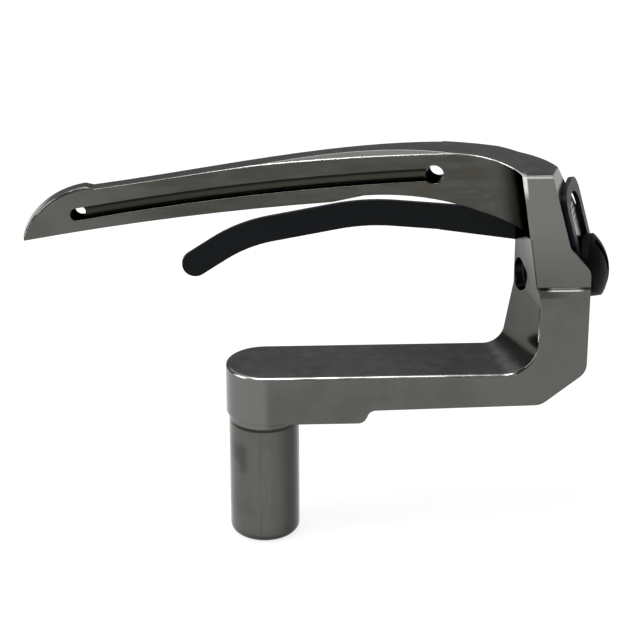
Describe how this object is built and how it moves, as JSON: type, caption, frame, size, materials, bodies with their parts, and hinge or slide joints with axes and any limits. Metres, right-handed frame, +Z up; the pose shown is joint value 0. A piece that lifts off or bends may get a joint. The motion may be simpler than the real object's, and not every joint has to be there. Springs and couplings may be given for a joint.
{
  "type": "sewing machine looper",
  "caption": "Steel chain-stitch looper: round shank, arm and post carry a curved, grooved blade with thread eyelets, and a clamped black needle guard runs under it.",
  "frame": {"origin": "on the shank's axis, in the plane of the shoulder that rests on the looper carrier", "axes": "+Z up along the shank's axis, from the shank to the blade; +X along the arm, from the shank to the post; +Y to the back, the needle's side of the blade"},
  "size_m": [0.0651, 0.0095, 0.046],
  "materials": {
    "polished_steel": "ground and polished, darkened tool steel",
    "black_oxide_spring": "black oxide, satin",
    "black_oxide_screw": "black oxide, satin"
  },
  "bodies": {
    "root": {"looper": "polished_steel", "needle_guard": "black_oxide_spring", "clamp_screw": "black_oxide_screw"}
  },
  "joints": []
}
